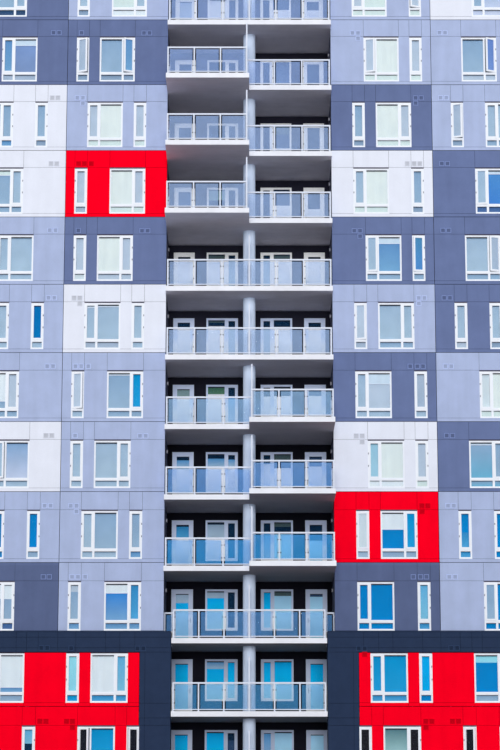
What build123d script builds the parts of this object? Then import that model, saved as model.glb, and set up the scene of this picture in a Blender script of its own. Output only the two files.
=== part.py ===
"""Thirteen-storey apartment block with a central recess of stacked balconies.

Millimetres. X runs along the front, +Y points from the front into the building, +Z is up.
The origin is on the ground, at the centre of the block's outline.
"""
import os

from build123d import *

# Storeys
STOREYS = 13
STOREY = 2800
GROUND_STOREY = 4000
SLAB = 200
PARAPET = 900

# Plan, with widths measured from the centre line
HALF_WIDTH = 12400
BAY_JOINT = 7425
RECESS_HALF = 3330
DEPTH = 16000
RECESS_DEPTH = 2900
WALL = 200
JOINT = 20

# Painted panels, whose joints lie a little above the floors
PANEL_RISE = 200

# Podium round the three lowest storeys of the front
PODIUM_STOREYS = 3
PODIUM_PROUD = 300
PODIUM_UPSTAND = 300
PIER_RETURN = 300
PIER_WIDTH = 1190
PIER_DEPTH = 1100
PIER_GAP = 30

# Windows in the painted walls
SILL = 345
WINDOW_HEIGHT = 1885
HEAD_STRIP = 30
WIDE = 1440
NARROW = 510
GLASS = 24

# Doors and windows between the flats and their balconies
DOOR_WIDTH = 870
DOOR_CENTRE = 2695
LINTEL = 300
BALCONY_WINDOW_WIDTH = 1300
BALCONY_WINDOW_CENTRE = 1115
BALCONY_SILL = 640
LEAF = 60

# Balconies
SLAB_PROUD = 530
BALCONY_REACH = 1480
COLUMN_RADIUS = 250
COLUMN_SIDES = 16
COLUMN_SETBACK = 1340
COLUMN_CLEARANCE = 5

# Rails and screens
RAIL_HEIGHT = 1110
RAIL_SETBACK = 20
RAIL_END_MARGIN = 80
RAIL_BAYS = 3
POST = 55
HANDRAIL = 60
BOTTOM_RAIL = 35
BOTTOM_RAIL_LIFT = 50
RAIL_GLASS = 10
RAIL_GLASS_GAP = 45
PIER_RAIL_SETBACK = 530
SCREEN_HEIGHT = 2060
SCREEN = 30
SCREEN_LIFT = 100
SCREEN_OFFSET = 100

# Places along Y
REACH = SLAB_PROUD + BALCONY_REACH
FRONT = (REACH - DEPTH) / 2
REAR = FRONT + DEPTH
BACK = FRONT + RECESS_DEPTH
PODIUM_FRONT = FRONT - PODIUM_PROUD
PIER_BACK = PODIUM_FRONT + PIER_DEPTH
SLAB_EDGE = FRONT - SLAB_PROUD
REACH_EDGE = FRONT - REACH
COLUMN_Y = SLAB_EDGE + COLUMN_SETBACK

# Distance of the piers' inner faces from the centre line
PIER_FACE = RECESS_HALF - PIER_RETURN

# Paint of the front from the top storey down: left wing, left inner bay, right inner bay,
# right wing
PAINTS = {
    13: ("slate", "light", "light", "white"),
    12: ("slate", "slate", "light", "light"),
    11: ("white", "light", "slate", "light"),
    10: ("white", "red", "white", "slate"),
    9: ("light", "slate", "slate", "slate"),
    8: ("light", "white", "light", "slate"),
    7: ("light", "light", "slate", "light"),
    6: ("white", "light", "white", "slate"),
    5: ("light", "light", "red", "light"),
    4: ("slate", "light", "slate", "light"),
}

# Which half of a storey's balcony stands forward: -1 is the left one, 1 the right one
FORWARD_HALF = {12: -1, 11: -1, 10: -1, 7: 1, 6: 1, 5: 1}

# Windows of a half front as (width, distance of the centre outwards from the bay joint).
# The pattern moves along by one step on each storey and comes back after three.
PATTERNS = (
    ((NARROW, -620), (WIDE, -2500), (WIDE, 2430), (NARROW, 3870)),
    ((NARROW, -620), (WIDE, -2030), (WIDE, 1965), (NARROW, 3870)),
    ((WIDE, -1560), (NARROW, -2980), (NARROW, 1030), (WIDE, 2890)),
)

# Windows of an end wall: distance of the two centres from the front plane, by pattern
END_WINDOWS = ((3500, 11900), (3950, 12350), (4400, 12800))

# Windows of the rear wall: distances from the centre line
REAR_WINDOWS = (1700, 5350, 9800)

# Colours
WHITE = Color(0.80, 0.83, 0.92)
LIGHT = Color(0.47, 0.53, 0.70)
SLATE = Color(0.16, 0.18, 0.33)
RED = Color(0.80, 0.02, 0.04)
NAVY = Color(0.03, 0.05, 0.09)
CHARCOAL = Color(0.05, 0.05, 0.06)
CONCRETE = Color(0.45, 0.45, 0.46)
FRAME_WHITE = Color(0.85, 0.86, 0.88)
PANE = Color(0.55, 0.70, 0.85, 0.4)
PAINT_COLOURS = {"white": WHITE, "light": LIGHT, "slate": SLATE, "red": RED}


def level(storey):
    """Height of the top of a storey's floor slab."""
    if storey == 1:
        return SLAB
    return SLAB + GROUND_STOREY + (storey - 2) * STOREY


def ceiling(storey):
    """Height of the underside of the slab over a storey."""
    return level(storey + 1) - SLAB


def panel_bottom(storey):
    return 0 if storey == 1 else level(storey) + PANEL_RISE + JOINT / 2


def panel_top(storey):
    if storey == STOREYS:
        return ceiling(storey) - JOINT
    return level(storey + 1) + PANEL_RISE - JOINT / 2


def podium_top():
    return level(PODIUM_STOREYS + 1) + PODIUM_UPSTAND


def band_bottom():
    """Lower edge of the podium's band, a joint over the strip above the windows."""
    return level(PODIUM_STOREYS) + SILL + WINDOW_HEIGHT + HEAD_STRIP + JOINT


def pattern(storey):
    return (STOREYS - storey) % len(PATTERNS)


def storeys(first=1):
    return range(first, STOREYS + 1)


def gather(pieces):
    """One part made of separate solids."""
    with BuildPart() as group:
        add(pieces)
    return group.part


def rectangle(low, high, mode=Mode.ADD):
    """A rectangle in the open sketch between two opposite corners."""
    (u0, v0), (u1, v1) = low, high
    with Locations(((u0 + u1) / 2, (v0 + v1) / 2)):
        Rectangle(abs(u1 - u0), abs(v1 - v0), mode=mode)


def elevation(y):
    """A sketch plane across the building at y. Its u is X, its v is Z and it faces the front."""
    return Plane.XZ.offset(-y)


def side_elevation(x):
    """A sketch plane along the building at x. Its u is Y, its v is Z and it faces +X."""
    return Plane.YZ.offset(x)


def wall_panel(plane, low, high, storey, windows):
    """A panel behind a plane, with windows cut through it at (width, centre)."""
    sill = level(storey) + SILL
    head = sill + WINDOW_HEIGHT
    with BuildPart() as panel:
        with BuildSketch(plane):
            rectangle(low, high)
            for width, centre in windows:
                rectangle((centre - width / 2, sill), (centre + width / 2, head), Mode.SUBTRACT)
        extrude(amount=-WALL)
    return panel.part


def front_bays(storey):
    """The four wall bays of an upper storey: paint, side, inner and outer edge."""
    left_wing, left_inner, right_inner, right_wing = PAINTS[storey]
    inner = (RECESS_HALF, BAY_JOINT - JOINT / 2)
    wing = (BAY_JOINT + JOINT / 2, HALF_WIDTH)
    return (
        (left_wing, -1, *wing),
        (left_inner, -1, *inner),
        (right_inner, 1, *inner),
        (right_wing, 1, *wing),
    )


def front_windows(storey, side, near, far):
    """The windows of a half front whose centres lie between two distances from the centre line."""
    for width, outwards in PATTERNS[pattern(storey)]:
        centre = BAY_JOINT + outwards
        if near < centre < far:
            yield width, side * centre


def front_panels(paint):
    """Painted front panels of one colour, a storey high and a bay wide."""
    panels = []
    for storey in PAINTS:
        for name, side, near, far in front_bays(storey):
            if name == paint:
                low = (side * near, panel_bottom(storey))
                high = (side * far, panel_top(storey))
                windows = front_windows(storey, side, near, far)
                panels.append(wall_panel(elevation(FRONT), low, high, storey, windows))
    return gather(panels)


def end_y_range(storey):
    """Front and rear edge of an end wall, which stands between the front and rear walls."""
    front = PODIUM_FRONT if storey <= PODIUM_STOREYS else FRONT
    return front + WALL + JOINT, REAR - WALL - JOINT


def end_paint(storey, side):
    """An end wall takes the paint of the front's wing beside it."""
    if storey <= PODIUM_STOREYS:
        return "navy"
    return PAINTS[storey][0 if side == -1 else -1]


def end_panels(paint):
    panels = []
    for side, x in ((-1, WALL - HALF_WIDTH), (1, HALF_WIDTH)):
        for storey in storeys():
            if end_paint(storey, side) == paint:
                front, rear = end_y_range(storey)
                near, far = END_WINDOWS[pattern(storey)]
                windows = ((WIDE, FRONT + near), (NARROW, FRONT + far))
                low = (front, panel_bottom(storey))
                high = (rear, panel_top(storey))
                panels.append(wall_panel(side_elevation(x), low, high, storey, windows))
    return gather(panels)


def rear_bays(storey):
    """The five bays of the rear wall, in the front's colours without the red."""
    half = JOINT / 2
    edges = (-HALF_WIDTH - half, -BAY_JOINT, -RECESS_HALF, RECESS_HALF, BAY_JOINT, HALF_WIDTH + half)
    bays = [(left + half, right - half) for left, right in zip(edges, edges[1:])]
    if storey <= PODIUM_STOREYS:
        return [("navy", left, right) for left, right in bays]
    left_wing, left_inner, right_inner, right_wing = PAINTS[storey]
    paints = (left_wing, left_inner, "white", right_inner, right_wing)
    calm = ["light" if paint == "red" else paint for paint in paints]
    return [(paint, left, right) for paint, (left, right) in zip(calm, bays)]


def rear_panels(paint):
    centres = [side * x for side in (-1, 1) for x in REAR_WINDOWS]
    panels = []
    for storey in storeys():
        for name, left, right in rear_bays(storey):
            if name == paint:
                low = (left, panel_bottom(storey))
                high = (right, panel_top(storey))
                windows = [(WIDE, x) for x in centres if left < x < right]
                panels.append(wall_panel(elevation(REAR - WALL), low, high, storey, windows))
    return gather(panels)


def podium_frame():
    """Navy pier and band on each side of the recess, standing in front of the wall above."""
    with BuildPart() as frame:
        with BuildSketch(elevation(PODIUM_FRONT)):
            for side in (-1, 1):
                pier = side * (PIER_FACE + PIER_WIDTH)
                rectangle((side * PIER_FACE, 0), (pier, podium_top()))
                rectangle((side * PIER_FACE, band_bottom()), (side * HALF_WIDTH, podium_top()))
        extrude(amount=-WALL)
    return frame.part


def podium_piers():
    """The piers' returns into the recess, which narrow its mouth."""
    with BuildPart() as piers:
        with BuildSketch(Plane.XY):
            for side in (-1, 1):
                rectangle(
                    (side * PIER_FACE, PODIUM_FRONT + WALL), (side * RECESS_HALF, PIER_BACK)
                )
        extrude(amount=podium_top())
    return piers.part


def podium_panels():
    """Red panels in the podium frame."""
    near = PIER_FACE + PIER_WIDTH + JOINT
    panels = []
    for storey in range(1, PODIUM_STOREYS + 1):
        top = min(panel_top(storey), band_bottom() - JOINT)
        for side in (-1, 1):
            low = (side * near, panel_bottom(storey))
            high = (side * HALF_WIDTH, top)
            windows = front_windows(storey, side, near, HALF_WIDTH)
            panels.append(wall_panel(elevation(PODIUM_FRONT), low, high, storey, windows))
    return gather(panels)


def floor_slab(storey):
    """The floor inside the walls, notched for the recess, out to the podium wall low down."""
    front = PODIUM_FRONT if storey <= PODIUM_STOREYS + 1 else FRONT
    with BuildPart() as slab:
        with BuildSketch(Plane.XY.offset(level(storey) - SLAB)):
            rectangle((-HALF_WIDTH + WALL, front + WALL), (HALF_WIDTH - WALL, REAR - WALL))
            rectangle((-RECESS_HALF, front + WALL), (RECESS_HALF, BACK), Mode.SUBTRACT)
        extrude(amount=SLAB)
    return slab.part


def roof_slab():
    with BuildPart() as slab:
        with BuildSketch(Plane.XY.offset(ceiling(STOREYS))):
            rectangle((-HALF_WIDTH, FRONT), (HALF_WIDTH, REAR))
        extrude(amount=SLAB)
    return slab.part


def roof_parapet():
    """Four straight walls on the roof's edges, with a joint at each corner."""
    with BuildPart() as parapet:
        with BuildSketch(Plane.XY.offset(level(STOREYS + 1))):
            rectangle((-HALF_WIDTH, FRONT), (HALF_WIDTH, FRONT + WALL))
            rectangle((-HALF_WIDTH, REAR - WALL), (HALF_WIDTH, REAR))
            for side in (-1, 1):
                rectangle(
                    (side * (HALF_WIDTH - WALL), FRONT + WALL + JOINT),
                    (side * HALF_WIDTH, REAR - WALL - JOINT),
                )
        extrude(amount=PARAPET)
    return parapet.part


def between_piers(storey):
    """The podium's storeys and the one on top of it have their balcony between the piers."""
    return storey <= PODIUM_STOREYS + 1


def slab_half(storey):
    """Half the width of a balcony slab's front edge."""
    return PIER_FACE - PIER_GAP if between_piers(storey) else RECESS_HALF


def balcony_slab(storey):
    """A balcony slab in the recess. A forward half runs out past the front wall."""
    shoulder = PIER_BACK if between_piers(storey) else SLAB_EDGE
    half = slab_half(storey)
    with BuildPart() as slab:
        with BuildSketch(Plane.XY.offset(level(storey) - SLAB)):
            rectangle((-RECESS_HALF, shoulder), (RECESS_HALF, BACK))
            if between_piers(storey):
                rectangle((-half, SLAB_EDGE), (half, shoulder))
            if storey in FORWARD_HALF:
                rectangle((0, REACH_EDGE), (FORWARD_HALF[storey] * RECESS_HALF, SLAB_EDGE))
        extrude(amount=SLAB)
    return slab.part


def recess_side_walls():
    with BuildPart() as walls:
        for storey in storeys():
            front = PIER_BACK if storey <= PODIUM_STOREYS else FRONT + WALL
            with BuildSketch(Plane.XY.offset(level(storey))):
                for side in (-1, 1):
                    rectangle((side * RECESS_HALF, front), (side * (RECESS_HALF + WALL), BACK))
            extrude(amount=ceiling(storey) - level(storey))
    return walls.part


def recess_openings(storey, centre, width, sill):
    """Corners of a left and a right opening in the recess's back wall."""
    bottom = level(storey) + sill
    head = ceiling(storey) - LINTEL
    return [
        ((side * centre - width / 2, bottom), (side * centre + width / 2, head))
        for side in (-1, 1)
    ]


def door_openings(storey):
    return recess_openings(storey, DOOR_CENTRE, DOOR_WIDTH, 0)


def balcony_window_openings(storey):
    return recess_openings(storey, BALCONY_WINDOW_CENTRE, BALCONY_WINDOW_WIDTH, BALCONY_SILL)


def recess_back_wall(storey):
    half = RECESS_HALF + WALL
    with BuildPart() as wall:
        with BuildSketch(elevation(BACK)):
            rectangle((-half, level(storey)), (half, ceiling(storey)))
            for low, high in door_openings(storey) + balcony_window_openings(storey):
                rectangle(low, high, Mode.SUBTRACT)
        extrude(amount=-WALL)
    return wall.part


def balcony_leaves(openings):
    """Door leaves or window sashes in their openings behind the balconies."""
    leaves = []
    for storey in storeys():
        with BuildPart() as pair:
            with BuildSketch(elevation(BACK + (WALL - LEAF) / 2)):
                for low, high in openings(storey):
                    rectangle(low, high)
            extrude(amount=-LEAF)
        leaves.append(pair.part)
    return gather(leaves)


def column(storey):
    """One storey of the round column on the centre line, in a few flat faces."""
    with BuildPart() as shaft:
        with BuildSketch(Plane.XY.offset(level(storey))):
            with Locations((0, COLUMN_Y)):
                RegularPolygon(COLUMN_RADIUS, COLUMN_SIDES)
        extrude(amount=ceiling(storey) - level(storey))
    return shaft.part


def halves(first=2):
    """Each storey from the first balcony rail up, with each of its two halves."""
    return [(storey, side) for storey in storeys(first) for side in (-1, 1)]


def screen_x(storey):
    """The screen stands on the forward half where there is one."""
    return FORWARD_HALF.get(storey, 0) * SCREEN_OFFSET


def rail_front(storey, side):
    """Y of the front of a half's front rail."""
    edge = REACH_EDGE if FORWARD_HALF.get(storey) == side else SLAB_EDGE
    return edge + RAIL_SETBACK


def screen_front(storey):
    """Y of the front of the screen's post, in line with the foremost rail."""
    return min(rail_front(storey, -1), rail_front(storey, 1))


def end_post(storey):
    """Distance of the end posts' centres from the centre line."""
    return slab_half(storey) - RAIL_END_MARGIN


def rail_run(storey, side):
    """Inner end of a half's front rail and the centres of its posts, from the centre outwards."""
    screen = screen_x(storey) * side
    beside_post = rail_front(storey, side) == screen_front(storey)
    start = screen + (POST if beside_post else SCREEN) / 2
    bay = (end_post(storey) - screen) / RAIL_BAYS
    return start, [screen + bay * (i + 1) for i in range(RAIL_BAYS)]


def rail_bars(start, end, floor, top):
    """Handrail and bottom rail in the open sketch, from start to end over a floor."""
    lift = floor + BOTTOM_RAIL_LIFT
    rectangle((start, top - HANDRAIL), (end, top))
    rectangle((start, lift), (end, lift + BOTTOM_RAIL))


def rail_pane(start, end, floor, top):
    """The pane of a rail bay in the open sketch, standing on the bottom rail."""
    gap = RAIL_GLASS_GAP if end > start else -RAIL_GLASS_GAP
    low = floor + BOTTOM_RAIL_LIFT + BOTTOM_RAIL
    rectangle((start + gap, low), (end - gap, top - HANDRAIL - RAIL_GLASS_GAP))


def front_rail(storey, side):
    """Posts, handrail and bottom rail of a half balcony as one frame."""
    floor = level(storey)
    top = floor + RAIL_HEIGHT
    start, posts = rail_run(storey, side)
    with BuildPart() as rail:
        with BuildSketch(elevation(rail_front(storey, side))):
            rail_bars(side * start, side * (posts[-1] + POST / 2), floor, top)
            for post in posts:
                rectangle((side * (post - POST / 2), floor), (side * (post + POST / 2), top))
        extrude(amount=-POST)
    return rail.part


def front_rail_panes(storey, side):
    floor = level(storey)
    start, posts = rail_run(storey, side)
    lefts = [start] + [post + POST / 2 for post in posts[:-1]]
    with BuildPart() as panes:
        with BuildSketch(elevation(rail_front(storey, side) + (POST - RAIL_GLASS) / 2)):
            for left, post in zip(lefts, posts):
                rail_pane(side * left, side * (post - POST / 2), floor, floor + RAIL_HEIGHT)
        extrude(amount=-RAIL_GLASS)
    return panes.part


def side_rail_run(storey, side):
    """Y of a side rail's start at the corner post, and of the front and back of its last post."""
    start = rail_front(storey, side) + POST
    if not between_piers(storey):
        return start, FRONT - POST, FRONT
    last = PODIUM_FRONT if storey <= PODIUM_STOREYS else FRONT + PIER_RAIL_SETBACK
    return start, last, last + POST


def side_rail(storey, side):
    """Rail from the corner post back to the wall or pier."""
    floor = level(storey)
    top = floor + RAIL_HEIGHT
    start, last, end = side_rail_run(storey, side)
    with BuildPart() as rail:
        with BuildSketch(side_elevation(side * end_post(storey) - POST / 2)):
            rail_bars(start, end, floor, top)
            rectangle((last, floor), (end, top))
        extrude(amount=POST)
        if storey == PODIUM_STOREYS + 1:
            with BuildSketch(elevation(last)):
                wall_post = side * (RECESS_HALF - POST)
                rail_bars(side * end_post(storey), side * RECESS_HALF, podium_top(), top)
                rectangle((wall_post, podium_top()), (side * RECESS_HALF, top))
            extrude(amount=-POST)
    return rail.part


def side_rail_panes(storey, side):
    floor = level(storey)
    top = floor + RAIL_HEIGHT
    start, last, end = side_rail_run(storey, side)
    with BuildPart() as panes:
        with BuildSketch(side_elevation(side * end_post(storey) - RAIL_GLASS / 2)):
            rail_pane(start, last, floor, top)
        extrude(amount=RAIL_GLASS)
        if storey == PODIUM_STOREYS + 1:
            with BuildSketch(elevation((last + end - RAIL_GLASS) / 2)):
                corner = side * (end_post(storey) + POST / 2)
                rail_pane(corner, side * (RECESS_HALF - POST), podium_top(), top)
            extrude(amount=-RAIL_GLASS)
    return panes.part


def privacy_screen(storey):
    """Screen between the two flats, from the front post to the column and on to the wall."""
    column_front = COLUMN_Y - COLUMN_RADIUS - COLUMN_CLEARANCE
    column_back = COLUMN_Y + COLUMN_RADIUS + COLUMN_CLEARANCE
    x, front = screen_x(storey), screen_front(storey)
    with BuildPart() as screen:
        with BuildSketch(Plane.XY.offset(level(storey) + SCREEN_LIFT)):
            rectangle((x - SCREEN / 2, front + POST), (x + SCREEN / 2, column_front))
            rectangle((-SCREEN / 2, column_back), (SCREEN / 2, BACK))
        extrude(amount=SCREEN_HEIGHT - SCREEN_LIFT)
        with BuildSketch(Plane.XY.offset(level(storey))):
            rectangle((x - POST / 2, front), (x + POST / 2, front + POST))
        extrude(amount=SCREEN_HEIGHT)
    return screen.part


def front_glass():
    """One sheet a storey and side behind the front panels' windows."""
    with BuildPart() as sheets:
        for storey in storeys():
            in_podium = storey <= PODIUM_STOREYS
            y = (PODIUM_FRONT if in_podium else FRONT) + WALL
            near = RECESS_HALF + (0 if in_podium else WALL)
            with BuildSketch(elevation(y)):
                for side in (-1, 1):
                    rectangle(
                        (side * near, level(storey)),
                        (side * (HALF_WIDTH - WALL - GLASS), ceiling(storey)),
                    )
            extrude(amount=-GLASS)
    return sheets.part


def end_glass():
    with BuildPart() as sheets:
        for side in (-1, 1):
            with BuildSketch(side_elevation(side * (HALF_WIDTH - WALL))):
                for storey in storeys():
                    front, rear = end_y_range(storey)
                    rectangle((front + GLASS, level(storey)), (rear - GLASS, ceiling(storey)))
            extrude(amount=-side * GLASS)
    return sheets.part


def rear_glass():
    half = HALF_WIDTH - WALL - GLASS
    with BuildPart() as sheets:
        with BuildSketch(elevation(REAR - WALL)):
            for storey in storeys():
                rectangle((-half, level(storey)), (half, ceiling(storey)))
        extrude(amount=GLASS)
    return sheets.part


def save(part, name, colour):
    part.label = name
    part.color = colour
    export_step(part, f"parts/{name}.step")


os.makedirs("parts", exist_ok=True)

for number in storeys():
    save(floor_slab(number), f"floor_slab_{number:02d}", CONCRETE)
save(roof_slab(), "roof_slab", CONCRETE)
save(roof_parapet(), "roof_parapet", WHITE)

for paint_name, paint_colour in PAINT_COLOURS.items():
    save(front_panels(paint_name), f"front_panels_{paint_name}", paint_colour)
for paint_name in ("white", "light", "slate"):
    save(end_panels(paint_name), f"end_panels_{paint_name}", PAINT_COLOURS[paint_name])
    save(rear_panels(paint_name), f"rear_panels_{paint_name}", PAINT_COLOURS[paint_name])

save(podium_frame(), "podium_frame", NAVY)
save(podium_piers(), "podium_piers", NAVY)
save(podium_panels(), "podium_panels_red", RED)
save(end_panels("navy"), "podium_end_panels", NAVY)
save(rear_panels("navy"), "podium_rear_panels", NAVY)

save(gather([balcony_slab(storey) for storey in storeys()]), "balcony_slabs", WHITE)
save(recess_side_walls(), "recess_side_walls", CHARCOAL)
save(gather([recess_back_wall(storey) for storey in storeys()]), "recess_back_walls", CHARCOAL)
save(balcony_leaves(door_openings), "balcony_doors", FRAME_WHITE)
save(balcony_leaves(balcony_window_openings), "balcony_windows", PANE)
save(gather([column(storey) for storey in storeys()]), "balcony_columns", WHITE)

save(gather([front_rail(*half) for half in halves()]), "front_rails", FRAME_WHITE)
save(gather([front_rail_panes(*half) for half in halves()]), "front_rail_glass", PANE)
save(gather([side_rail(*half) for half in halves()]), "side_rails", FRAME_WHITE)
save(gather([side_rail_panes(*half) for half in halves()]), "side_rail_glass", PANE)
save(gather([privacy_screen(storey) for storey in storeys(2)]), "privacy_screens", FRAME_WHITE)

save(front_glass(), "front_window_glass", PANE)
save(end_glass(), "end_window_glass", PANE)
save(rear_glass(), "rear_window_glass", PANE)
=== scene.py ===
"""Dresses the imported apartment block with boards, framed windows, rails, paint and light.

Metres, in the part's own frame. X runs along the front, +Y points into the building, +Z is up.
"""
import math
import random

import bmesh
import bpy
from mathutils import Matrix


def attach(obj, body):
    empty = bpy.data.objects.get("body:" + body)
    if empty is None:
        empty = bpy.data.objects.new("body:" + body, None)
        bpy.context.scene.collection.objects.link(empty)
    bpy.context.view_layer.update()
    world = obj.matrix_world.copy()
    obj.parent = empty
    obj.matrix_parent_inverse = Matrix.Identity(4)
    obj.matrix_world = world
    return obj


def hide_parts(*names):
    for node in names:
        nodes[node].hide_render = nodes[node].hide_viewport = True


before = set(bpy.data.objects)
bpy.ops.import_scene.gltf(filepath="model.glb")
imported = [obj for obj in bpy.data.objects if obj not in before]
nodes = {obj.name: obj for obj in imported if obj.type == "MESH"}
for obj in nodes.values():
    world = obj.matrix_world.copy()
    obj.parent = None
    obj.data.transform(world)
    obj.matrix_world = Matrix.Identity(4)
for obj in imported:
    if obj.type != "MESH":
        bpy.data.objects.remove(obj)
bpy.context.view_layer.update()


# The part's own sizes
STOREYS = 13
STOREY = 2.8
GROUND_STOREY = 4.0
SLAB = 0.2
PARAPET = 0.9
HALF_WIDTH = 12.4
BAY_JOINT = 7.425
RECESS_HALF = 3.33
WALL = 0.2
JOINT = 0.02
PANEL_RISE = 0.2
PODIUM_STOREYS = 3
PODIUM_UPSTAND = 0.3
PIER_FACE = 3.03
PIER_WIDTH = 1.19
PIER_GAP = 0.03
SILL = 0.345
WINDOW_HEIGHT = 1.885
HEAD_STRIP = 0.03
WIDE = 1.44
NARROW = 0.51
DOOR_WIDTH = 0.87
DOOR_CENTRE = 2.695
LINTEL = 0.3
BALCONY_WINDOW_WIDTH = 1.3
BALCONY_WINDOW_CENTRE = 1.115
BALCONY_SILL = 0.64
COLUMN_RADIUS = 0.25
POST = 0.055
RAIL_BAYS = 3
RAIL_SETBACK = 0.02
RAIL_END_MARGIN = 0.08
SCREEN_HEIGHT = 2.06
SCREEN_OFFSET = 0.1

FRONT = -6.995
REAR = 9.005
BACK = -4.095
PODIUM_FRONT = -7.295
SLAB_EDGE = -7.525
REACH_EDGE = -9.005
COLUMN_Y = -6.185

ALL_STOREYS = range(1, STOREYS + 1)
SIDES = (-1, 1)
PAINTS = {
    13: ("slate", "light", "light", "white"),
    12: ("slate", "slate", "light", "light"),
    11: ("white", "light", "slate", "light"),
    10: ("white", "red", "white", "slate"),
    9: ("light", "slate", "slate", "slate"),
    8: ("light", "white", "light", "slate"),
    7: ("light", "light", "slate", "light"),
    6: ("white", "light", "white", "slate"),
    5: ("light", "light", "red", "light"),
    4: ("slate", "light", "slate", "light"),
}
FORWARD_HALF = {12: -1, 11: -1, 10: -1, 7: 1, 6: 1, 5: 1}
# Width of each window and its distance outwards from the bay joint
PATTERNS = (
    ((NARROW, -0.62), (WIDE, -2.5), (WIDE, 2.43), (NARROW, 3.87)),
    ((NARROW, -0.62), (WIDE, -2.03), (WIDE, 1.965), (NARROW, 3.87)),
    ((WIDE, -1.56), (NARROW, -2.98), (NARROW, 1.03), (WIDE, 2.89)),
)
# Side of the opening light of each window in a pattern: -1 outwards, 1 towards the recess
HINGES = ((-1, 1, 1, 1), (-1, 1, -1, -1), (-1, 1, 1, 1))
# Distance behind the front of the wide and the narrow window, by pattern
END_WINDOWS = ((3.5, 11.9), (3.95, 12.35), (4.4, 12.8))
REAR_WINDOWS = (1.7, 5.35, 9.8)


def level(storey):
    """Height of the top of a storey's floor slab."""
    if storey == 1:
        return SLAB
    return SLAB + GROUND_STOREY + (storey - 2) * STOREY


def ceiling(storey):
    return level(storey + 1) - SLAB


def pattern(storey):
    return (STOREYS - storey) % 3


def panel_bottom(storey):
    return 0 if storey == 1 else level(storey) + PANEL_RISE + JOINT / 2


def panel_top(storey):
    if storey == STOREYS:
        return ceiling(storey) - JOINT
    return level(storey + 1) + PANEL_RISE - JOINT / 2


PODIUM_TOP = level(PODIUM_STOREYS + 1) + PODIUM_UPSTAND
BAND_BOTTOM = level(PODIUM_STOREYS) + SILL + WINDOW_HEIGHT + HEAD_STRIP + JOINT


def mirrored(side, near, far):
    """The range from near to far on one side of the centre line, the lesser X first."""
    return sorted((side * near, side * far))


# Colours and materials

HEIGHT_SCALE = 40.0


def linear(red, green, blue):
    """A colour for a shader socket from its usual 0 to 255 values."""
    made = []
    for value in (red, green, blue):
        c = value / 255
        made.append(c / 12.92 if c <= 0.04045 else ((c + 0.055) / 1.055) ** 2.4)
    return (*made, 1.0)


def grey(value):
    return (value, value, value, 1.0)


def scaled(colour, factor):
    return (*(min(1.0, c * factor) for c in colour[:3]), 1.0)


class Nodes:
    """A node tree, and short calls for what it needs."""

    def __init__(self, tree):
        self.tree = tree

    def node(self, kind, **values):
        """A new node, with what its inputs are given."""
        made = self.tree.nodes.new(kind)
        for name, value in values.items():
            self.give(made.inputs[name], value)
        return made

    def link(self, source, target):
        self.tree.links.new(source, target)

    def give(self, target, value):
        """Gives an input a value, or another node's output."""
        if isinstance(value, bpy.types.NodeSocket):
            self.link(value, target)
        else:
            target.default_value = value

    def reckon(self, operation, *values):
        """What an operation makes of values and outputs."""
        made = self.node("ShaderNodeMath")
        made.operation = operation
        for target, value in zip(made.inputs, values):
            self.give(target, value)
        return made.outputs["Value"]

    def choose(self, factor, first, second, output):
        """The tree's surface, from the first shader at factor 0 to the second at 1."""
        node = self.node("ShaderNodeMixShader", Fac=factor)
        self.link(first, node.inputs[1])
        self.link(second, node.inputs[2])
        self.link(node.outputs["Shader"], self.tree.nodes[output].inputs["Surface"])


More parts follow.
